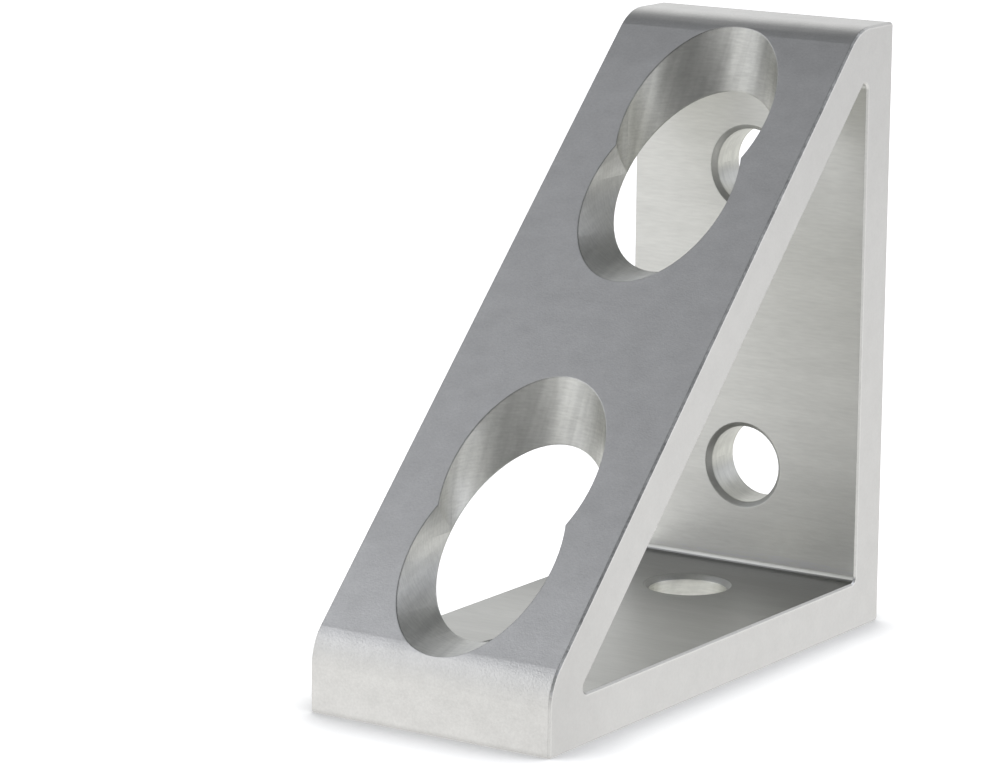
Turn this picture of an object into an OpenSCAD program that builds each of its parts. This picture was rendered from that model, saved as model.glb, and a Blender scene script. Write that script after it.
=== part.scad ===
// Gusseted inside-corner bracket for slotted framing on a 25.4 mm grid.
//
// The real piece is a slice of aluminium extrusion. Its section is a hollow
// right triangle: a base leg, an upright leg and a sloping gusset. The slice is
// then drilled: two bolt holes in each leg, and in front of each bolt hole a
// larger access hole through the gusset for the screw head and the hex key.
// The two access holes that meet on the slope run together as a figure of eight.
//
// Frame: +Z up, X along the width of the slice. The base leg lies on Z = 0 with
// the origin at the centre of its underside. The toe faces -Y, the upright +Y.
// In the section, "depth" is the distance from the back of the upright leg.

/* [Legs] */
// Length of each leg, from the outer corner to its end
leg_l = 50.8; // [50:0.2:80]
// Thickness of the two legs
leg_t = 4.064; // [3:0.1:5.5]
// Width of the slice
body_w = 22.225; // [18:0.025:40]

/* [Gusset] */
// Thickness of the sloping gusset, square to its face
gusset_t = 3.9; // [3:0.1:5]
// Height of the toe, from the underside to where its front face meets the slope
toe_h = 5.6; // [4.5:0.1:8]

/* [Corners of the section] */
// Radius of the two wide bends, at the toe and at the top
bend_r = 4.3; // [1:0.1:6]
// Radius of the three small outer corners
outer_r = 0.3; // [0.25:0.05:1]
// Radius of the three fillets inside the opening
inner_r = 0.5; // [0.2:0.1:2]
// Edge break along the rims of both saw cuts
cut_break = 0.15; // [0.05:0.05:0.2]

/* [Bolt holes] */
// Diameter of the four bolt holes
bolt_d = 6.53; // [5:0.01:8.5]
// Distance of the first hole in each leg from the outer corner
hole_edge = 12.7; // [11:0.1:14]
// Distance between the two holes of a leg
hole_pitch = 25.4; // [20:0.1:27]
// Chamfer on the rims of the bolt holes inside the opening
inner_rim = 0.4; // [0.1:0.05:0.8]
// Chamfer on the rims of the bolt holes on the mounting faces
outer_rim = 0.2; // [0.1:0.05:0.8]

/* [Access holes] */
// Diameter of the access holes through the gusset
access_d = 13.1; // [11:0.1:14.5]
// Clearance left between the end of each access drill and the leg beyond it
drill_gap = 0.5; // [0.2:0.1:1]

/* [Hidden] */

// Smoothness of arcs and bores
$fn = 96;

// Overrun of each drill past the faces that it opens
over = 1;

// How far each arc stands proud of the sides that it joins, so that they cross at
// a clean edge instead of only touching
proud = 0.002;

// Half of the width of the slice, and how far its bevels run on past the saw cuts
half_w = body_w / 2;
run_on = cut_break / 5;

// Depth plus height is the same all along each face of the gusset
slope_out = leg_l + toe_h;
slope_in = slope_out - gusset_t * sqrt(2);

// Places of the holes along a leg, measured from the outer corner
hole_places = [for (i = [0:1]) hole_edge + i * hole_pitch];

// A point of the section, given by its depth and its height
function at(depth, height) = [leg_l / 2 - depth, height];

// Outer outline, anticlockwise, each corner with its radius
outer_outline = [
    [at(leg_l, 0), outer_r],
    [at(0, 0), outer_r],
    [at(0, leg_l), outer_r],
    [at(toe_h, leg_l), bend_r],
    [at(leg_l, toe_h), bend_r],
];

// Outline of the opening, anticlockwise, each corner with its radius
opening_outline = [
    [at(slope_in - leg_t, leg_t), inner_r],
    [at(leg_t, leg_t), inner_r],
    [at(leg_t, slope_in - leg_t), inner_r],
];

// Corner i of an outline and its neighbours, counted round the loop
function corner(outline, i) = outline[(i + len(outline)) % len(outline)][0];
function radius(outline, i) = outline[i % len(outline)][1];

// Directions from corner i to the corner before it and to the one after it
function unit(v) = v / norm(v);
function back_dir(outline, i) = unit(corner(outline, i - 1) - corner(outline, i));
function ahead_dir(outline, i) = unit(corner(outline, i + 1) - corner(outline, i));

// Half of the angle at corner i, and how far from it the bend starts
function half_angle(outline, i) = acos(back_dir(outline, i) * ahead_dir(outline, i)) / 2;
function setback(outline, i) = radius(outline, i) / tan(half_angle(outline, i));

// Where the bend at corner i starts and ends, and the centre of its arc
function bend_start(outline, i) =
    corner(outline, i) + back_dir(outline, i) * setback(outline, i);
function bend_end(outline, i) =
    corner(outline, i) + ahead_dir(outline, i) * setback(outline, i);
function bend_centre(outline, i) =
    corner(outline, i)
    + unit(back_dir(outline, i) + ahead_dir(outline, i))
    * radius(outline, i) / sin(half_angle(outline, i));

// Angle of a direction in the plane of the section
function heading(v) = atan2(v[1], v[0]);

// How the surface of a bar stands across the width, as points of [distance out from
// its outline, place across the width]. flare is -1 where the rims draw in, as on
// the outside of the slice, and 1 where they open out, as round the opening.
function surface_line(flare) = [
    [flare * (cut_break + run_on), -half_w - run_on],
    [0, cut_break - half_w],
    [0, half_w - cut_break],
    [flare * (cut_break + run_on), half_w + run_on],
];

// A section that lies between the surface of a bar, moved out by shift, and a line
// that stands at the distance limit
module section_to(flare, shift, limit) {
    polygon(concat(
        [for (p = surface_line(flare)) [p[0] + shift, p[1]]],
        [[limit, half_w + run_on], [limit, -half_w - run_on]]
    ));
}

// All that lies beyond the side from corner i to the next one
module beyond_side(outline, i, flare) {
    run = corner(outline, i + 1) - corner(outline, i);
    translate(corner(outline, i))
        rotate(heading(run))
            translate([-leg_l, 0])
                rotate([90, 0, 90])
                    linear_extrude(norm(run) + 2 * leg_l)
                        mirror([1, 0])
                            section_to(flare, 0, leg_l);
}

// All that lies beyond the arc of corner i: the kite between the centre of the arc
// and the corner, grown past the corner, less a post with the arc's own surface
module beyond_arc(outline, i, flare) {
    centre = bend_centre(outline, i);
    growth = 1 + (cut_break + over) / radius(outline, i);
    kite = [centre, bend_start(outline, i), corner(outline, i), bend_end(outline, i)];
    translate(centre)
        difference() {
            linear_extrude(body_w + run_on, center = true)
                polygon([for (tip = kite) (tip - centre) * growth]);
            rotate_extrude()
                section_to(flare, radius(outline, i) + proud, 0);
        }
}

// A bar along Z with the given outline, anticlockwise, and bevelled rims
module bar(outline, width, flare) {
    difference() {
        translate([-leg_l / 2 - over, -over, -width / 2])
            cube([leg_l + 2 * over, leg_l + 2 * over, width]);
        for (i = [0:len(outline) - 1]) {
            beyond_side(outline, i, flare);
            beyond_arc(outline, i, flare);
        }
    }
}

// The slice as it leaves the saw, standing in the frame of the part
module slice() {
    rotate([90, 0, 90])
        difference() {
            bar(outer_outline, body_w, -1);
            bar(opening_outline, body_w + run_on, 1);
        }
}

// Cutter for a bolt hole along +Z through a leg whose mounting face is Z = 0
module bolt_hole() {
    translate([0, 0, -over])
        cylinder(h = leg_t + 2 * over, d = bolt_d);
    translate([0, 0, -over])
        cylinder(h = over + outer_rim,
                 r1 = bolt_d / 2 + outer_rim + over,
                 r2 = bolt_d / 2);
    translate([0, 0, leg_t - inner_rim])
        cylinder(h = inner_rim + over,
                 r1 = bolt_d / 2,
                 r2 = bolt_d / 2 + inner_rim + over);
}

// Cutter for an access hole in line with a bolt hole, from just above the leg
// out through the gusset
module access_hole() {
    start = leg_t + drill_gap;
    translate([0, 0, start])
        cylinder(h = slope_out - start, d = access_d);
}

// Places its children over each hole of the base leg, pointing up
module base_holes() {
    for (place = hole_places)
        translate([0, leg_l / 2 - place, 0])
            children();
}

// Places its children over each hole of the upright leg, pointing forward
module upright_holes() {
    for (place = hole_places)
        translate([0, leg_l / 2, place])
            rotate([90, 0, 0])
                children();
}

module corner_bracket() {
    color([0.76, 0.77, 0.78])
        difference() {
            slice();
            base_holes() bolt_hole();
            base_holes() access_hole();
            upright_holes() bolt_hole();
            upright_holes() access_hole();
        }
}

corner_bracket();
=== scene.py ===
"""Looks of a gusseted inside-corner bracket for slotted framing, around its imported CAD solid.

The bracket is one piece: a slice of aluminium extrusion, sawn off on both sides, drilled, etched
matte and clear anodised. Each surface keeps the marks of the step that made it, so the solid's
faces are sorted by that step and each group gets its own finish.

Frame: metres, +Z up, X along the width of the slice, the toe towards -Y, the origin in the middle
of the underside of the base leg. Sizes in this script are millimetres until they reach Blender.
"""

import logging
import math
from dataclasses import dataclass, replace
from enum import Enum
from typing import Any

import bmesh
import bpy
from mathutils import Matrix, Vector

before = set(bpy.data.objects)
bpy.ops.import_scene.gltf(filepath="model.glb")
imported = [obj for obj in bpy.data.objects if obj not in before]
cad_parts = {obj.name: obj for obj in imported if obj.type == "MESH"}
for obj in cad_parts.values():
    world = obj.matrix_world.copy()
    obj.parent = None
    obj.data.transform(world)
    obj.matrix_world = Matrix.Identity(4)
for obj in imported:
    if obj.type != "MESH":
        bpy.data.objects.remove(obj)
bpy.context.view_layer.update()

LOG = logging.getLogger("bracket")
MM = 0.001

Colour = tuple[float, float, float, float]
Triple = tuple[float, float, float]
Socket = bpy.types.NodeSocket

# Directions in the frame of the part
RIGHT: Triple = (1.0, 0.0, 0.0)
BACK: Triple = (0.0, 1.0, 0.0)
UP: Triple = (0.0, 0.0, 1.0)

# Distance between the two holes of a leg in millimetres, which the finish of their walls needs too
HOLE_PITCH = 25.4

# How many times a shader looks for edges near a point, and for the sky above it
EDGE_SAMPLES = 6
SKY_SAMPLES = 12


def linear(hex_colour: str) -> Colour:
    """Turns an sRGB hex value into the linear colour that a shader takes.

    Args:
        hex_colour: The colour as "#RRGGBB".

    Returns:
        Linear red, green and blue, and an alpha of 1.
    """
    def channel(value: float) -> float:
        """Returns one sRGB channel as linear light."""
        return value / 12.92 if value <= 0.04045 else ((value + 0.055) / 1.055) ** 2.4

    parts = [int(hex_colour[i:i + 2], 16) / 255 for i in (1, 3, 5)]
    return (channel(parts[0]), channel(parts[1]), channel(parts[2]), 1.0)


def add_node(tree: bpy.types.NodeTree, kind: str, settings: dict[str, Any] | None = None,
             inputs: dict[str | int, Any] | None = None) -> bpy.types.Node:
    """Adds a node to a tree, with its settings and links.

    Args:
        tree: The node tree of a material or of the world.
        kind: The node's type without the leading "ShaderNode".
        settings: Properties of the node itself, by name.
        inputs: Values of its input sockets by name or number. A socket of another node is linked.

    Returns:
        The new node.
    """
    node = tree.nodes.new("ShaderNode" + kind)
    for name, value in (settings or {}).items():
        setattr(node, name, value)
    for key, value in (inputs or {}).items():
        if isinstance(value, Socket):
            tree.links.new(value, node.inputs[key])
        else:
            node.inputs[key].default_value = value
    return node


def millimetres(tree: bpy.types.NodeTree, stretch: Triple = (1, 1, 1)) -> Socket:
    """Gives the place on the part in millimetres.

    Args:
        tree: The material's node tree.
        stretch: Factor along each axis. A small one draws a pattern out along that axis.

    Returns:
        The vector's socket.
    """
    place = add_node(tree, "TexCoord")
    scale = tuple(factor / MM for factor in stretch)
    return add_node(tree, "Mapping", None, {"Vector": place.outputs["Object"], "Scale": scale}).outputs[0]


class Step(Enum):
    """The step of making, or the place in the section, that left a surface as it is."""

    OUTER_SKIN = 0
    INNER_SKIN = 1
    # Inner face of the base, which carries painted shade.
    DRAINED = 2
    FILLET = 3
    SAWN = 4
    ACCESS_DOWN = 5
    ACCESS_IN = 6
    BOLT_DOWN = 7
    BOLT_IN = 8
    RIM = 9
    BROKEN_EDGE = 10
    # Edges of the sloping gusset, which carry a line of painted shade.
    SCRAPED_EDGE = 11
    MOUNTING = 12


@dataclass(frozen=True)
class Fade:
    """A change along one direction of the part, from a factor of 1 at start to factor at end.

    start and end are places along the direction in millimetres.
    """

    direction: Triple
    start: float
    end: float
    factor: float

    def value(self, tree: bpy.types.NodeTree) -> Socket:
        """Adds the fade to a material.

        Args:
            tree: The material's node tree.

        Returns:
            The factor's socket.
        """
        place = add_node(tree, "VectorMath", {"operation": "DOT_PRODUCT"},
                         {0: millimetres(tree), 1: self.direction})
        return add_node(tree, "MapRange", {"interpolation_type": "SMOOTHSTEP"},
                        {"Value": place.outputs["Value"], "From Min": self.start, "From Max": self.end,
                         "To Min": 1.0, "To Max": self.factor}).outputs[0]


@dataclass(frozen=True)
class Relief:
    """A random pattern of ups and downs in a surface.

    size is the spacing of its ups in millimetres, and depth their height in millimetres. A small
    stretch along an axis draws the pattern out into lines along it, and fades make it deeper or
    shallower along the part.
    """

    size: float
    depth: float
    stretch: Triple = (1.0, 1.0, 1.0)
    detail: float = 2.0
    fades: tuple[Fade, ...] = ()

    def height(self, tree: bpy.types.NodeTree) -> Socket:
        """Adds the pattern to a material.

        Args:
            tree: The material's node tree.

        Returns:
            The height's socket, in millimetres.
        """
        noise = add_node(tree, "TexNoise", None,
                         {"Vector": millimetres(tree, self.stretch), "Scale": 1 / self.size,
                          "Detail": self.detail})
        height = add_node(tree, "Math", {"operation": "MULTIPLY"},
                          {0: noise.outputs[0], 1: self.depth}).outputs[0]
        for fade in self.fades:
            height = add_node(tree, "Math", {"operation": "MULTIPLY"},
                              {0: height, 1: fade.value(tree)}).outputs[0]
        return height


@dataclass(frozen=True)
class Nicks:
    """Small dents from handling, far apart: one in a few cells of a random grid."""

    spacing: float
    radius: float
    depth: float
    share: float

    def height(self, tree: bpy.types.NodeTree) -> Socket:
        """Adds the dents to a material.

        Args:
            tree: The material's node tree.

        Returns:
            The height's socket, in millimetres.
        """
        cells = add_node(tree, "TexVoronoi", None,
                         {"Vector": millimetres(tree), "Scale": 1 / self.spacing})
        pick = add_node(tree, "SeparateColor", None, {0: cells.outputs["Color"]})
        chosen = add_node(tree, "Math", {"operation": "LESS_THAN"}, {0: pick.outputs[0], 1: self.share})
        bowl = add_node(tree, "MapRange", {"interpolation_type": "SMOOTHSTEP"},
                        {"Value": cells.outputs["Distance"], "From Max": self.radius / self.spacing,
                         "To Min": -self.depth, "To Max": 0.0})
        return add_node(tree, "Math", {"operation": "MULTIPLY"},
                        {0: chosen.outputs[0], 1: bowl.outputs[0]}).outputs[0]


@dataclass(frozen=True)
class PaintedEdgeLight:
    """A thin painted line along the sharp edges, where the surface turns over towards one direction.

    factor is what the colour is multiplied by there: under 1 for a line of painted shade, over 1
    for a painted highlight. width is how far from the edge it reaches, in millimetres, turn how far
    the rounded normal has turned where the line is full, and onset the share of that turn where it
    starts.
    """

    direction: Triple
    factor: float
    width: float = 0.12
    turn: float = 0.3
    onset: float = 0.1

    def value(self, tree: bpy.types.NodeTree) -> Socket:
        """Adds the line to a material.

        Args:
            tree: The material's node tree.

        Returns:
            The factor's socket.
        """
        rounded = add_node(tree, "Bevel", {"samples": EDGE_SAMPLES}, {"Radius": self.width * MM})
        true_normal = add_node(tree, "NewGeometry").outputs["Normal"]
        turned = add_node(tree, "VectorMath", {"operation": "SUBTRACT"},
                          {0: rounded.outputs[0], 1: true_normal})
        towards = add_node(tree, "VectorMath", {"operation": "DOT_PRODUCT"},
                           {0: turned.outputs[0], 1: self.direction})
        return add_node(tree, "MapRange", None,
                        {"Value": towards.outputs["Value"], "From Min": self.turn * self.onset,
                         "From Max": self.turn, "To Min": 1.0, "To Max": self.factor}).outputs[0]


@dataclass(frozen=True)
class AnodisedFinish:
    """Clear anodised aluminium: the film is as clear as glass, so the metal's own relief shows.

    bright and dull are the metal's colours under the film, mixed in grains and in wider clouds as
    the etch bit more or less. grain and cloud are their spacings in millimetres, tint_stretch draws
    both out, and fades change the colour along the part as painted light and shade. Edges are
    rounded over by rounding millimetres, as tumbling before the etch leaves them.
    """

    name: str
    roughness: float
    reliefs: tuple[Relief | Nicks, ...] = ()
    bright: str = "#E6E5E2"
    dull: str = "#D3D2CF"
    grain: float = 0.22
    cloud: float = 1.8
    tint_detail: float = 2.0
    tint_stretch: Triple = (0.4, 1.0, 1.0)
    fades: tuple[Fade, ...] = ()
    painted_edge_light: PaintedEdgeLight | None = None
    rounding: float = 0.12
    metallic: float = 1.0

    def normal(self, tree: bpy.types.NodeTree) -> Socket:
        """Adds the rounded edges and all reliefs.

        Args:
            tree: The material's node tree.

        Returns:
            The normal's socket.
        """
        edges = add_node(tree, "Bevel", {"samples": EDGE_SAMPLES},
                         {"Radius": self.rounding * MM}).outputs[0]
        if not self.reliefs:
            return edges
        heights = [relief.height(tree) for relief in self.reliefs]
        total = heights[0]
        for height in heights[1:]:
            total = add_node(tree, "Math", {"operation": "ADD"}, {0: total, 1: height}).outputs[0]
        return add_node(tree, "Bump", None,
                        {"Height": total, "Distance": MM, "Strength": 1.0,
                         "Normal": edges}).outputs[0]

    def shades(self, tree: bpy.types.NodeTree) -> list[Socket]:
        """Adds all factors on the colour.

        Args:
            tree: The material's node tree.

        Returns:
            The factors' sockets.
        """
        factors = [fade.value(tree) for fade in self.fades]
        if self.painted_edge_light:
            factors.append(self.painted_edge_light.value(tree))
        return factors

    def colour(self, tree: bpy.types.NodeTree) -> Socket:
        """Adds the grain, the clouds and the factors on the colour.

        Args:
            tree: The material's node tree.

        Returns:
            The colour's socket.
        """
        grain, cloud = (
            add_node(tree, "TexNoise", None,
                     {"Vector": millimetres(tree, self.tint_stretch), "Scale": 1 / size,
                      "Detail": self.tint_detail})
            for size in (self.grain, self.cloud))
        share = add_node(tree, "Math", {"operation": "ADD"}, {0: grain.outputs[0], 1: cloud.outputs[0]})
        # Each noise averages a half, so their sum less a half averages midway from bright to dull.
        centred = add_node(tree, "Math", {"operation": "SUBTRACT"}, {0: share.outputs[0], 1: 0.5})
        tint = add_node(tree, "Mix", {"data_type": "RGBA"},
                        {0: centred.outputs[0], 6: linear(self.bright), 7: linear(self.dull)}).outputs[2]
        for shade in self.shades(tree):
            tint = add_node(tree, "VectorMath", {"operation": "SCALE"},
                            {0: tint, "Scale": shade}).outputs[0]
        return tint

    def shader_inputs(self, tree: bpy.types.NodeTree) -> dict[str | int, Any]:
        """Works out what goes into the shader.

        Args:
            tree: The material's node tree.

        Returns:
            Values and sockets by the name of the shader's socket.
        """
        return {"Base Color": self.colour(tree), "Metallic": self.metallic, "Roughness": self.roughness,
                "Normal": self.normal(tree)}

    def build(self) -> bpy.types.Material:
        """Builds the finish's material.

        Returns:
            The material.
        """
        material = bpy.data.materials.new(self.name)
        material.use_nodes = True
        tree = material.node_tree
        tree.nodes.clear()
        shader = add_node(tree, "BsdfPrincipled", None, self.shader_inputs(tree))
        add_node(tree, "OutputMaterial", None, {"Surface": shader.outputs[0]})
        return material


@dataclass(frozen=True)
class DrilledFinish(AnodisedFinish):
    """Wall of a drilled hole: rings from the drill smear its gloss along the hole.

    The holes of a leg lie a pitch apart, the first of them half a pitch from the frame's origin
    along across, so one pattern that repeats with the pitch serves them all. smear is how strongly
    the gloss is drawn out. Chips that the drill dragged out leave streaks along the wall, and its
    lips leave ripples round it. Each has its spacing in millimetres, its depth as a share of the
    colour, and its draw, the small factor that draws it out. Both shift by slant millimetres round
    the wall for each one along it, and mark_levels are the levels of the noise where they are
    darkest and palest. For painted_band_width degrees on both sides of painted_band_angle, a band of
    painted shade takes painted_band_shade of the colour, changed along the part by painted_band_fade.
    """

    axis: Triple = UP
    across: Triple = BACK
    pitch: float = HOLE_PITCH
    radius: float = 6.55
    smear: float = 0.85
    slant: float = 0.3
    streak: float = 1.4
    streak_depth: float = 0.18
    streak_draw: float = 0.05
    ripple: float = 0.2
    ripple_depth: float = 0.08
    ripple_draw: float = 0.15
    mark_detail: float = 3.0
    mark_levels: tuple[float, float] = (0.3, 0.7)
    painted_band_angle: float = 125.0
    painted_band_width: float = 34.0
    painted_band_shade: float = 0.0
    painted_band_fade: Fade | None = None

    def turn(self, tree: bpy.types.NodeTree) -> Socket:
        """Adds the angle round the hole's own axis.

        Args:
            tree: The material's node tree.

        Returns:
            The socket of the angle in radians, from +X towards across.
        """
        place = millimetres(tree)
        side = add_node(tree, "SeparateXYZ", None, {0: place}).outputs["X"]
        along_leg = add_node(tree, "VectorMath", {"operation": "DOT_PRODUCT"},
                             {0: place, 1: self.across})
        wrapped = add_node(tree, "Math", {"operation": "WRAP"},
                           {0: along_leg.outputs["Value"], 1: self.pitch, 2: 0.0})
        centred = add_node(tree, "Math", {"operation": "SUBTRACT"},
                           {0: wrapped.outputs[0], 1: self.pitch / 2})
        return add_node(tree, "Math", {"operation": "ARCTAN2"},
                        {0: centred.outputs[0], 1: side}).outputs[0]

    def marks(self, tree: bpy.types.NodeTree, spot: Socket, stretch: Triple, size: float,
              depth: float) -> Socket:
        """Adds a pattern of marks on the unrolled wall.

        Args:
            tree: The material's node tree.
            spot: The place on the unrolled wall, round it and along it, in millimetres.
            stretch: Factor along each of the two. A small one draws the marks out that way.
            size: Spacing of the marks in millimetres.
            depth: Share of the colour that the darkest marks lose. The palest gain half of it.

        Returns:
            The socket of the factor on the colour.
        """
        low, high = self.mark_levels
        drawn = add_node(tree, "VectorMath", {"operation": "MULTIPLY"}, {0: spot, 1: stretch})
        noise = add_node(tree, "TexNoise", None,
                         {"Vector": drawn.outputs[0], "Scale": 1 / size, "Detail": self.mark_detail})
        return add_node(tree, "MapRange", None,
                        {"Value": noise.outputs[0], "From Min": low, "From Max": high,
                         "To Min": 1 - depth, "To Max": 1 + depth / 2}).outputs[0]

    def shades(self, tree: bpy.types.NodeTree) -> list[Socket]:
        """Adds the streaks, the ripples and the band of painted shade to the factors on the colour.

        Args:
            tree: The material's node tree.

        Returns:
            The factors' sockets.
        """
        turn = self.turn(tree)
        deep = add_node(tree, "VectorMath", {"operation": "DOT_PRODUCT"},
                        {0: millimetres(tree), 1: self.axis}).outputs["Value"]
        around = add_node(tree, "Math", {"operation": "MULTIPLY"}, {0: turn, 1: self.radius})
        leaning = add_node(tree, "Math", {"operation": "MULTIPLY_ADD"},
                           {0: deep, 1: self.slant, 2: around.outputs[0]})
        spot = add_node(tree, "CombineXYZ", None, {0: leaning.outputs[0], 1: deep}).outputs[0]
        streaks = self.marks(tree, spot, (1.0, self.streak_draw, 1.0), self.streak, self.streak_depth)
        ripples = self.marks(tree, spot, (self.ripple_draw, 1.0, 1.0), self.ripple, self.ripple_depth)
        # A band of painted shade round the wall.
        away = add_node(tree, "Math", {"operation": "SUBTRACT"},
                        {0: turn, 1: math.radians(self.painted_band_angle)})
        apart = add_node(tree, "Math", {"operation": "ABSOLUTE"}, {0: away.outputs[0]})
        band = add_node(tree, "MapRange", {"interpolation_type": "SMOOTHSTEP"},
                        {"Value": apart.outputs[0], "From Max": math.radians(self.painted_band_width),
                         "To Min": self.painted_band_shade, "To Max": 0.0}).outputs[0]
        if self.painted_band_fade:
            band = add_node(tree, "Math", {"operation": "MULTIPLY"},
                            {0: band, 1: self.painted_band_fade.value(tree)}).outputs[0]
        painted_band_factor = add_node(tree, "Math", {"operation": "SUBTRACT"}, {0: 1.0, 1: band})
        return [*super().shades(tree), streaks, ripples, painted_band_factor.outputs[0]]

    def shader_inputs(self, tree: bpy.types.NodeTree) -> dict[str | int, Any]:
        """Adds the smeared gloss to the shader's inputs.

        Args:
            tree: The material's node tree.

        Returns:
            Values and sockets by the name of the shader's socket.
        """
        along = add_node(tree, "CombineXYZ", None, dict(enumerate(self.axis)))
        return super().shader_inputs(tree) | {"Anisotropic": self.smear, "Tangent": along.outputs[0]}


def drill_lines(axis: Triple, along: float, around: float) -> Triple:
    """Returns the stretch of a pattern on a drilled wall.

    Args:
        axis: The drill's own axis.
        along: Factor along the axis. A small one draws lines out along the hole.
        around: Factor square to it. A small one draws rings out round the hole.

    Returns:
        Factor along each axis of the frame.
    """
    return tuple(along if part else around for part in axis)


def access_wall(name: str, axis: Triple, across: Triple, fades: tuple[Fade, ...] = (),
                painted_band_shade: float = 0.0, painted_band_fade: Fade | None = None) -> DrilledFinish:
    """Makes the finish of the wide access holes that run along one axis.

    Args:
        name: The material's name.
        axis: The drill's own axis.
        across: The axis along which the holes lie a pitch apart.
        fades: Changes of the colour along the part.
        painted_band_shade: Share of the colour that the band of painted shade loses.
        painted_band_fade: Change of that share along the part.

    Returns:
        The finish.
    """
    rings = Relief(0.16, 0.01, drill_lines(axis, 1.0, 0.12), detail=3.0)
    waves = Relief(0.9, 0.04, drill_lines(axis, 0.04, 1.0))
    # A thin line of painted shade runs along the rims where the wall turns over towards the left.
    return DrilledFinish(
        name, 0.52, (rings, waves, Nicks(1.1, 0.12, 0.05, 0.1)),
        bright="#F1F1ED", dull="#DFDFDA", axis=axis, across=across, fades=fades,
        painted_edge_light=PaintedEdgeLight((-1.0, -0.3, 0.3), 0.4, width=0.25),
        painted_band_shade=painted_band_shade, painted_band_fade=painted_band_fade, rounding=0.2,
    )


def bolt_wall(name: str, axis: Triple, across: Triple, bright: str, dull: str) -> DrilledFinish:
    """Makes the finish of the bolt holes that run along one axis.

    Args:
        name: The material's name.
        axis: The drill's own axis.
        across: The axis along which the holes lie a pitch apart.
        bright: Colour of the metal where the etch bit less.
        dull: Its colour where the etch bit more.

    Returns:
        The finish.
    """
    rings = Relief(0.2, 0.01, drill_lines(axis, 1.0, 0.12), detail=3.0)
    return DrilledFinish(name, 0.45, (rings,), bright=bright, dull=dull, axis=axis, across=across,
                         radius=3.26, smear=0.6, streak_depth=0.08, ripple=0.3,
                         ripple_depth=0.1, rounding=0.3)


# The real grain of the etch is too fine to show, so it is drawn a seventh of a millimetre wide. The
# die leaves faint lines along the width, and handling leaves a few nicks.
ETCH_GRAIN = Relief(0.14, 0.01, detail=4.0)
DIE_LINES = Relief(0.3, 0.003, (0.04, 1.0, 1.0))
HANDLING_NICKS = Nicks(1.8, 0.1, 0.03, 0.05)

# The last half millimetre above the table stays out of the light.
FOOT = Fade(UP, 0.5, 0.0, 0.75)

# Mounting faces, on the back and underneath: flat, evenly matte skin of the extrusion, with painted
# shade at the foot and a thin line of painted shade along the right-hand cut.
MOUNTING_FACE = AnodisedFinish(
    "anodised_aluminium_mounting_face", 0.4, (ETCH_GRAIN, DIE_LINES, HANDLING_NICKS),
    grain=0.15, cloud=1.4, tint_stretch=(0.7, 1.0, 0.7),
    fades=(FOOT,), painted_edge_light=PaintedEdgeLight(RIGHT, 0.75),
)

# Outer skin of the gusset, the toe and the top: the same skin, with painted light towards the toe
# and on the top land, and painted shade low on the toe's front, at the foot, just under the top and
# towards the right. The grain stands out on the shoulder of the toe, where the piece is handled, and
# less on its front.
SHOULDER_GRAIN = replace(ETCH_GRAIN, fades=(Fade(UP, 7.2, 6.0, 3.2), Fade(UP, 5.0, 3.8, 0.6)))
PAINTED_LIGHT_TOWARDS_TOE = Fade(UP, 16.0, 8.0, 1.12)
PAINTED_SHADE_TOE_FRONT = Fade(UP, 4.9, 3.8, 0.93)
PAINTED_SHADE_UNDER_TOP = Fade(UP, 46.0, 48.0, 0.92)
PAINTED_LIGHT_TOP_LAND = Fade(UP, 50.3, 50.75, 1.08)
PAINTED_SHADE_TO_THE_RIGHT = Fade(RIGHT, -4.0, 11.0, 0.97)
OUTER_SKIN = replace(
    MOUNTING_FACE, name="anodised_aluminium_outer_skin",
    reliefs=(SHOULDER_GRAIN, DIE_LINES, HANDLING_NICKS),
    fades=(PAINTED_LIGHT_TOWARDS_TOE, PAINTED_SHADE_TOE_FRONT, FOOT, PAINTED_SHADE_UNDER_TOP, PAINTED_LIGHT_TOP_LAND,
           PAINTED_SHADE_TO_THE_RIGHT),
)

# Inner skin: its colours are a little darker than the outer skin's, as painted shade inside the
# bracket. Painted light brightens it high up and down towards the base, and painted shade takes
# some of that back where the fillet starts. A thin line of painted shade runs along the saw cut.
PAINTED_LIGHT_HIGH_UP = Fade(UP, 22.0, 34.0, 1.1)
PAINTED_LIGHT_LOW_DOWN = Fade(UP, 10.0, 4.5, 1.25)
PAINTED_LIGHT_OVER_FILLET = Fade(UP, 6.5, 4.6, 1.2)
PAINTED_SHADE_FILLET_START = Fade(UP, 4.65, 4.45, 0.75)
INNER_SKIN = AnodisedFinish(
    "anodised_aluminium_inner_skin", 0.42,
    (Relief(0.2, 0.008, detail=3.0), Relief(0.35, 0.006, (0.04, 1.0, 1.0))),
    bright="#E1E1DD", dull="#CFCFCB", tint_stretch=(0.15, 1.0, 1.0),
    fades=(PAINTED_LIGHT_LOW_DOWN, PAINTED_LIGHT_OVER_FILLET, PAINTED_SHADE_FILLET_START, PAINTED_LIGHT_HIGH_UP),
    painted_edge_light=PaintedEdgeLight(RIGHT, 0.72),
)

# Inner face of the base: darker colours than the other skins, as painted shade, which deepens
# towards the corner under the upright.
PAINTED_CORNER_SHADE = Fade(BACK, -3.5, 20.0, 0.355)
SHADED_BASE_FACE = AnodisedFinish(
    "anodised_aluminium_shaded_base", 0.42,
    (Relief(0.2, 0.008, detail=3.0), Relief(0.35, 0.004, (0.04, 1.0, 1.0))),
    bright="#C9C9C5", dull="#BABAB6", tint_stretch=(0.15, 1.0, 1.0), fades=(PAINTED_CORNER_SHADE,),
)

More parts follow.
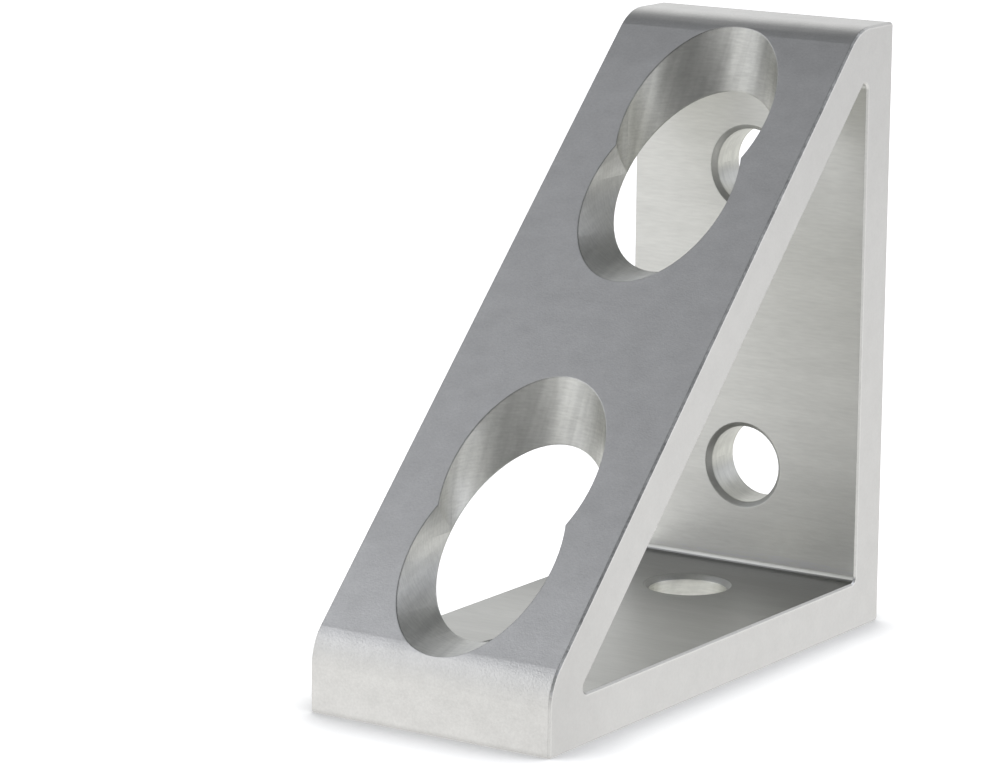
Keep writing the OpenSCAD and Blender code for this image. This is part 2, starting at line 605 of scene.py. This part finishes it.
# Middle of the fillet between base and upright: the die leaves it smooth. It is only part metal, so
# it takes the light like paint and shows pale, and painted shade darkens it towards the right-hand
# end.
PAINTED_SHADE_FILLET_END = Fade(RIGHT, 0.0, 11.0, 0.52)
FILLET = AnodisedFinish("anodised_aluminium_fillet", 0.35, bright="#CDCDCA", dull="#C0C0BD",
                        fades=(PAINTED_SHADE_FILLET_END,), rounding=0.05, metallic=0.4)

# Faces that the saw left and the etch evened out: pale, flat and matte, with the faintest lines of
# the blade, a painted highlight along the edge at the gusset, and painted shade towards the toe and
# towards the top.
PAINTED_SHADE_TOE_SIDE = Fade(BACK, -14.0, -24.0, 0.94)
PAINTED_SHADE_TOP_SIDE = Fade(UP, 32.0, 45.0, 0.975)
SAWN_FACE = AnodisedFinish(
    "anodised_aluminium_sawn", 0.5, (Relief(0.3, 0.002, (1.0, 1.0, 0.06)),),
    bright="#E1E0DD", dull="#D9D8D5", tint_stretch=(1.0, 1.0, 1.0),
    fades=(PAINTED_SHADE_TOE_SIDE, PAINTED_SHADE_TOP_SIDE),
    painted_edge_light=PaintedEdgeLight((0.0, -0.7, 0.7), 1.22, width=0.3, turn=0.15), rounding=0.04,
)

# Walls of the access holes that were drilled from above: a band of painted shade darkens them, most
# of all in the upper hole. Painted light makes the lower hole a little brighter, most of all where
# the other drill meets it.
PAINTED_LIGHT_LOWER_HOLE = Fade(BACK, 0.0, -6.0, 1.06)
PAINTED_LIGHT_MEETING = Fade(BACK, -12.3, -14.2, 1.2)
ACCESS_DOWN = access_wall(
    "anodised_aluminium_access_down", UP, BACK, (PAINTED_LIGHT_LOWER_HOLE, PAINTED_LIGHT_MEETING),
    painted_band_shade=0.27, painted_band_fade=Fade(BACK, -5.0, 5.0, 1.75),
)

# Walls of the access holes that were drilled from the front: painted shade darkens them from the
# middle of the lower hole upwards, again in the upper half of the upper one and on the lower hole's
# floor, and painted light brightens them under the lower hole's middle.
PAINTED_SHADE_ABOVE_LOWER_AXIS = Fade(UP, 12.4, 14.2, 0.92)
PAINTED_SHADE_ABOVE_UPPER_AXIS = Fade(UP, 38.4, 39.6, 0.82)
PAINTED_LIGHT_UNDER_LOWER_AXIS = Fade(UP, 12.0, 9.8, 1.09)
PAINTED_SHADE_LOWER_FLOOR = Fade(UP, 8.2, 7.2, 0.92)
ACCESS_IN = access_wall(
    "anodised_aluminium_access_in", BACK, UP,
    (PAINTED_SHADE_ABOVE_LOWER_AXIS, PAINTED_SHADE_ABOVE_UPPER_AXIS, PAINTED_LIGHT_UNDER_LOWER_AXIS, PAINTED_SHADE_LOWER_FLOOR),
)

# Walls of the bolt holes: smoother, and brightest in the base, whose paler colours are painted light.
BOLT_DOWN = bolt_wall("anodised_aluminium_bolt_down", UP, BACK, "#FAFAF5", "#EFEFE9")
BOLT_IN = bolt_wall("anodised_aluminium_bolt_in", BACK, UP, "#E4E4DD", "#D8D8D1")

# Chamfers of the bolt holes: cut by the drill's own shoulder and worn round, in darker colours, and
# not quite all metal.
RIM = AnodisedFinish("anodised_aluminium_rim", 0.5, bright="#C4C4C0", dull="#B6B6B2", rounding=0.35,
                     metallic=0.85)

# Edge breaks: narrow cut facets that keep the metal's own brightness, but for painted shade at the
# foot.
BROKEN_EDGE = AnodisedFinish("anodised_aluminium_edge", 0.4, fades=(FOOT,), rounding=0.04)

# Edges of the sloping gusset: a dark line of painted shade, broken into dashes at random, darkest low
# on the gusset. Painted light pales it upwards and fades it out round the toe.
PAINTED_LIGHT_UPWARDS = Fade(UP, 6.0, 36.0, 1.15)
PAINTED_LIGHT_AT_TOE = Fade(UP, 13.0, 6.0, 1.7)
SCRAPED_EDGE = AnodisedFinish(
    "anodised_aluminium_gusset_edge_shade", 0.35, bright="#E8E8E4", dull="#8C8C89", grain=0.3,
    tint_stretch=(1.0, 1.0, 1.0), fades=(PAINTED_LIGHT_UPWARDS, PAINTED_LIGHT_AT_TOE), rounding=0.04,
)

FINISHES: dict[Step, AnodisedFinish] = {
    Step.OUTER_SKIN: OUTER_SKIN,
    Step.INNER_SKIN: INNER_SKIN,
    Step.DRAINED: SHADED_BASE_FACE,
    Step.FILLET: FILLET,
    Step.SAWN: SAWN_FACE,
    Step.ACCESS_DOWN: ACCESS_DOWN,
    Step.ACCESS_IN: ACCESS_IN,
    Step.BOLT_DOWN: BOLT_DOWN,
    Step.BOLT_IN: BOLT_IN,
    Step.RIM: RIM,
    Step.BROKEN_EDGE: BROKEN_EDGE,
    Step.SCRAPED_EDGE: SCRAPED_EDGE,
    Step.MOUNTING: MOUNTING_FACE,
}


@dataclass
class Bracket:
    """The bracket itself: one CAD node, dressed face by face.

    fillet_core is how far a face of the fillet has to lean both ways to count as its middle, and
    gusset_edge_lean how far a bevel has to lean outwards from the gusset to count as the gusset's edge,
    which gets a line of painted shade. reach is how near a face has to come to the place or the
    lean that it is tested for.
    """

    node: str = "corner_bracket"
    leg_l: float = 50.8
    leg_t: float = 4.064
    body_w: float = 22.225
    toe_h: float = 5.6
    gusset_t: float = 3.9
    hole_edge: float = 12.7
    hole_pitch: float = HOLE_PITCH
    bolt_d: float = 6.53
    rim: float = 0.4
    access_d: float = 13.1
    fillet_core: float = 0.62
    gusset_edge_lean: float = 0.6
    reach: float = 0.05

    def off_axis(self, along_leg: float, across: float, first: float) -> float:
        """Returns how far a point lies from the axis of the nearer hole of a leg.

        Args:
            along_leg: The point's place along the leg.
            across: Its place across the width of the slice.
            first: Place along the leg of the first hole.

        Returns:
            The distance in millimetres.
        """
        places = [first, first + self.hole_pitch]
        return min(math.hypot(across, along_leg - place) for place in places)

    def step_of(self, face: bpy.types.MeshPolygon) -> Step:
        """Tells which step of making left a face of the solid.

        Args:
            face: The face.

        Returns:
            The step.
        """
        x, y, z = (value / MM for value in face.center)
        if abs(x) > self.body_w / 2 - self.reach and abs(face.normal.x) > 1 - self.reach:
            return Step.SAWN
        down = self.off_axis(y, x, self.hole_edge - self.leg_l / 2)
        inward = self.off_axis(z, x, self.hole_edge)
        for bolt, access, away, lean in (
                (Step.BOLT_DOWN, Step.ACCESS_DOWN, down, abs(face.normal.z)),
                (Step.BOLT_IN, Step.ACCESS_IN, inward, abs(face.normal.y))):
            for step, wall in ((bolt, self.bolt_d / 2), (access, self.access_d / 2)):
                if lean < self.reach and abs(away - wall) < self.reach:
                    return step
            if self.reach < lean < 1 - self.reach and away < self.bolt_d / 2 + self.rim:
                return Step.RIM
        if abs(face.normal.x) > self.reach:
            outwards = (face.normal.z - face.normal.y) * math.sqrt(0.5)
            return Step.SCRAPED_EDGE if outwards > self.gusset_edge_lean else Step.BROKEN_EDGE
        return self.skin_of(self.leg_l / 2 - y, z, face.normal)

    def skin_of(self, depth: float, height: float, normal: Vector) -> Step:
        """Tells which part of the section a face that the die left belongs to.

        Args:
            depth: The face's distance from the back of the upright.
            height: Its height.
            normal: Its normal.

        Returns:
            The step.
        """
        slope_in = self.leg_l + self.toe_h - self.gusset_t * math.sqrt(2)
        inside = min(depth, height) > self.leg_t - self.reach and depth + height < slope_in + self.reach
        if not inside:
            return Step.MOUNTING if min(depth, height) < self.reach else Step.OUTER_SKIN
        by_the_corner = depth + height < slope_in - 2 * self.leg_t
        if by_the_corner and min(normal.z, -normal.y) > self.fillet_core:
            return Step.FILLET
        return Step.DRAINED if normal.z > math.sqrt(0.5) else Step.INNER_SKIN

    def dress(self) -> bpy.types.Object:
        """Gives every face of the CAD node its finish.

        Returns:
            The CAD node's object.
        """
        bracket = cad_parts[self.node]
        bracket.data.materials.clear()
        for step in Step:
            bracket.data.materials.append(FINISHES[step].build())
        counts = dict.fromkeys(Step, 0)
        for face in bracket.data.polygons:
            step = self.step_of(face)
            face.material_index = step.value
            counts[step] += 1
        for step, count in counts.items():
            LOG.info("%s: %d faces", step.name.lower(), count)
        return bracket


@dataclass
class Table:
    """The round white table that the bracket stands on.

    The camera and every reflection see it as white. fill is the part of that white that its paint
    gives by itself, and the studio lights the rest. Within shadow_reach millimetres of the bracket
    less sky shows over the table and the fill falls with it, so that the contact shadow shows. Where
    the share of the sky that shows is down to foot_sky, contact times the fill is left.
    """

    radius: float = 1500.0
    sides: int = 96
    paint: str = "#F6F6F5"
    fill: float = 0.95
    contact: float = 0.22
    shadow_reach: float = 7.0
    foot_sky: float = 0.5

    def paint_material(self) -> bpy.types.Material:
        """Builds white paint that camera and gloss see as white, with the object's shadow kept.

        Returns:
            The material.
        """
        material = bpy.data.materials.new("matte_white_paint")
        material.use_nodes = True
        material.cycles.emission_sampling = "NONE"
        tree = material.node_tree
        tree.nodes.clear()
        path = add_node(tree, "LightPath")
        open_sky = add_node(tree, "AmbientOcclusion", {"samples": SKY_SAMPLES},
                            {"Distance": self.shadow_reach * MM})
        shadow = add_node(tree, "MapRange", None,
                          {"Value": open_sky.outputs["AO"], "From Min": self.foot_sky,
                           "To Min": self.contact * self.fill, "To Max": self.fill})
        strength = add_node(tree, "Math", {"operation": "MULTIPLY"},
                            {0: path.outputs["Is Camera Ray"], 1: shadow.outputs[0]}).outputs[0]
        paint = add_node(tree, "BsdfDiffuse", None, {"Color": linear(self.paint)})
        glow = add_node(tree, "Emission", None, {"Strength": strength})
        lit = add_node(tree, "AddShader", None, {0: paint.outputs[0], 1: glow.outputs[0]})
        mirrored = add_node(tree, "Math", {"operation": "MAXIMUM"},
                            {0: path.outputs["Is Glossy Ray"], 1: path.outputs["Is Transmission Ray"]})
        white = add_node(tree, "Emission", None, {"Strength": 1.0})
        both = add_node(tree, "MixShader", None,
                        {0: mirrored.outputs[0], 1: lit.outputs[0], 2: white.outputs[0]})
        add_node(tree, "OutputMaterial", None, {"Surface": both.outputs[0]})
        return material

    def build(self) -> bpy.types.Object:
        """Builds the table's top.

        Returns:
            The table's object.
        """
        shape = bmesh.new()
        bmesh.ops.create_circle(shape, cap_ends=True, radius=self.radius * MM, segments=self.sides)
        mesh = bpy.data.meshes.new("table")
        shape.to_mesh(mesh)
        shape.free()
        mesh.materials.append(self.paint_material())
        table = bpy.data.objects.new("table", mesh)
        bpy.context.scene.collection.objects.link(table)
        return table


@dataclass(frozen=True)
class SoftPanel:
    """A soft light of the studio: a bright patch of the dome that fades out towards its edge.

    azimuth is counted from +X towards +Y, in degrees, and spread is how far from its middle the
    patch reaches.
    """

    name: str
    azimuth: float
    elevation: float
    spread: float
    strength: float
    colour: str = "#FFFFFF"

    def light(self, tree: bpy.types.NodeTree, direction: Socket) -> Socket:
        """Adds the panel to the world.

        Args:
            tree: The world's node tree.
            direction: The direction that the world is seen in.

        Returns:
            The socket of the panel's light, as a colour.
        """
        az, el = math.radians(self.azimuth), math.radians(self.elevation)
        middle = (math.cos(el) * math.cos(az), math.cos(el) * math.sin(az), math.sin(el))
        near = add_node(tree, "VectorMath", {"operation": "DOT_PRODUCT"}, {0: direction, 1: middle})
        fade = add_node(tree, "MapRange", {"interpolation_type": "SMOOTHSTEP"},
                        {"Value": near.outputs["Value"], "From Min": math.cos(math.radians(self.spread)),
                         "To Max": self.strength})
        return add_node(tree, "VectorMath", {"operation": "SCALE"},
                        {0: linear(self.colour)[:3], "Scale": fade.outputs[0]}).outputs[0]


@dataclass
class Studio:
    """Camera and light.

    The camera looks at target from distance millimetres away. Its azimuth is counted from straight
    in front of the toe towards +X, and all its angles are in degrees. It shows what lies between
    nearest and farthest millimetres away. The light is an even grey ceiling with panels on it.
    """

    azimuth: float = 33.598
    elevation: float = 11.769
    roll: float = -0.546
    distance: float = 360.42
    target: Triple = (-10.546, 0.0, 21.754)
    lens: float = 159.10
    sensor: float = 36.0
    nearest: float = 10.0
    farthest: float = 5000.0
    ceiling: str = "#737578"
    panels: tuple[SoftPanel, ...] = (
        SoftPanel("left_wall", 225, 16, 45, 0.70),
        SoftPanel("left_window", 210, 36, 30, 0.51, "#EDF1FF"),
        SoftPanel("back_wall", 120, 20, 35, 0.90),
        SoftPanel("back_left", 155, 15, 30, 0.15),
        SoftPanel("back_right", 76, 33, 21, 0.70),
        SoftPanel("right_window", 30, 24, 30, 1.78, "#F3F5FF"),
    )

    def add_camera(self) -> bpy.types.Object:
        """Adds the camera at the photograph's viewing angle.

        Returns:
            The camera's object, which is also the scene's camera.
        """
        az, el, roll = (math.radians(a) for a in (self.azimuth, self.elevation, self.roll))
        back = Vector((math.sin(az) * math.cos(el), -math.cos(az) * math.cos(el), math.sin(el)))
        ahead = -back
        right = ahead.cross(Vector((0, 0, 1))).normalized()
        down = ahead.cross(right)
        side = right * math.cos(roll) + down * math.sin(roll)
        under = down * math.cos(roll) - right * math.sin(roll)
        turn = Matrix((side, -under, back)).transposed().to_4x4()
        data = bpy.data.cameras.new("camera")
        data.lens, data.sensor_width = self.lens, self.sensor
        data.clip_start, data.clip_end = self.nearest * MM, self.farthest * MM
        camera = bpy.data.objects.new("camera", data)
        place = (Vector(self.target) + back * self.distance) * MM
        camera.matrix_world = Matrix.Translation(place) @ turn
        bpy.context.scene.collection.objects.link(camera)
        bpy.context.scene.camera = camera
        return camera

    def add_light(self) -> bpy.types.World:
        """Sets the world as a grey ceiling with the soft panels on it, white to the camera itself.

        Returns:
            The world.
        """
        world = bpy.data.worlds.new("studio_light")
        world.use_nodes = True
        tree = world.node_tree
        tree.nodes.clear()
        direction = add_node(tree, "TexCoord").outputs["Generated"]
        total = linear(self.ceiling)[:3]
        for panel in self.panels:
            total = add_node(tree, "VectorMath", {"operation": "ADD"},
                             {0: total, 1: panel.light(tree, direction)}).outputs[0]
            LOG.info("panel %s: strength %.2f", panel.name, panel.strength)
        path = add_node(tree, "LightPath")
        lit = add_node(tree, "Background", None, {"Color": total})
        white = add_node(tree, "Background", None, {"Color": (1, 1, 1, 1)})
        mix = add_node(tree, "MixShader", None,
                       {0: path.outputs["Is Camera Ray"], 1: lit.outputs[0], 2: white.outputs[0]})
        add_node(tree, "OutputWorld", None, {"Surface": mix.outputs[0]})
        bpy.context.scene.world = world
        return world


def main() -> None:
    """Builds and dresses everything in order."""
    logging.basicConfig(level=logging.INFO, format="%(name)s: %(message)s")
    bpy.context.scene.view_settings.view_transform = "Standard"
    bracket = Bracket().dress()
    LOG.info("dressed %s: %d faces", bracket.name, len(bracket.data.polygons))
    table = Table().build()
    LOG.info("built %s", table.name)
    studio = Studio()
    studio.add_camera()
    studio.add_light()


if __name__ == "__main__":
    main()
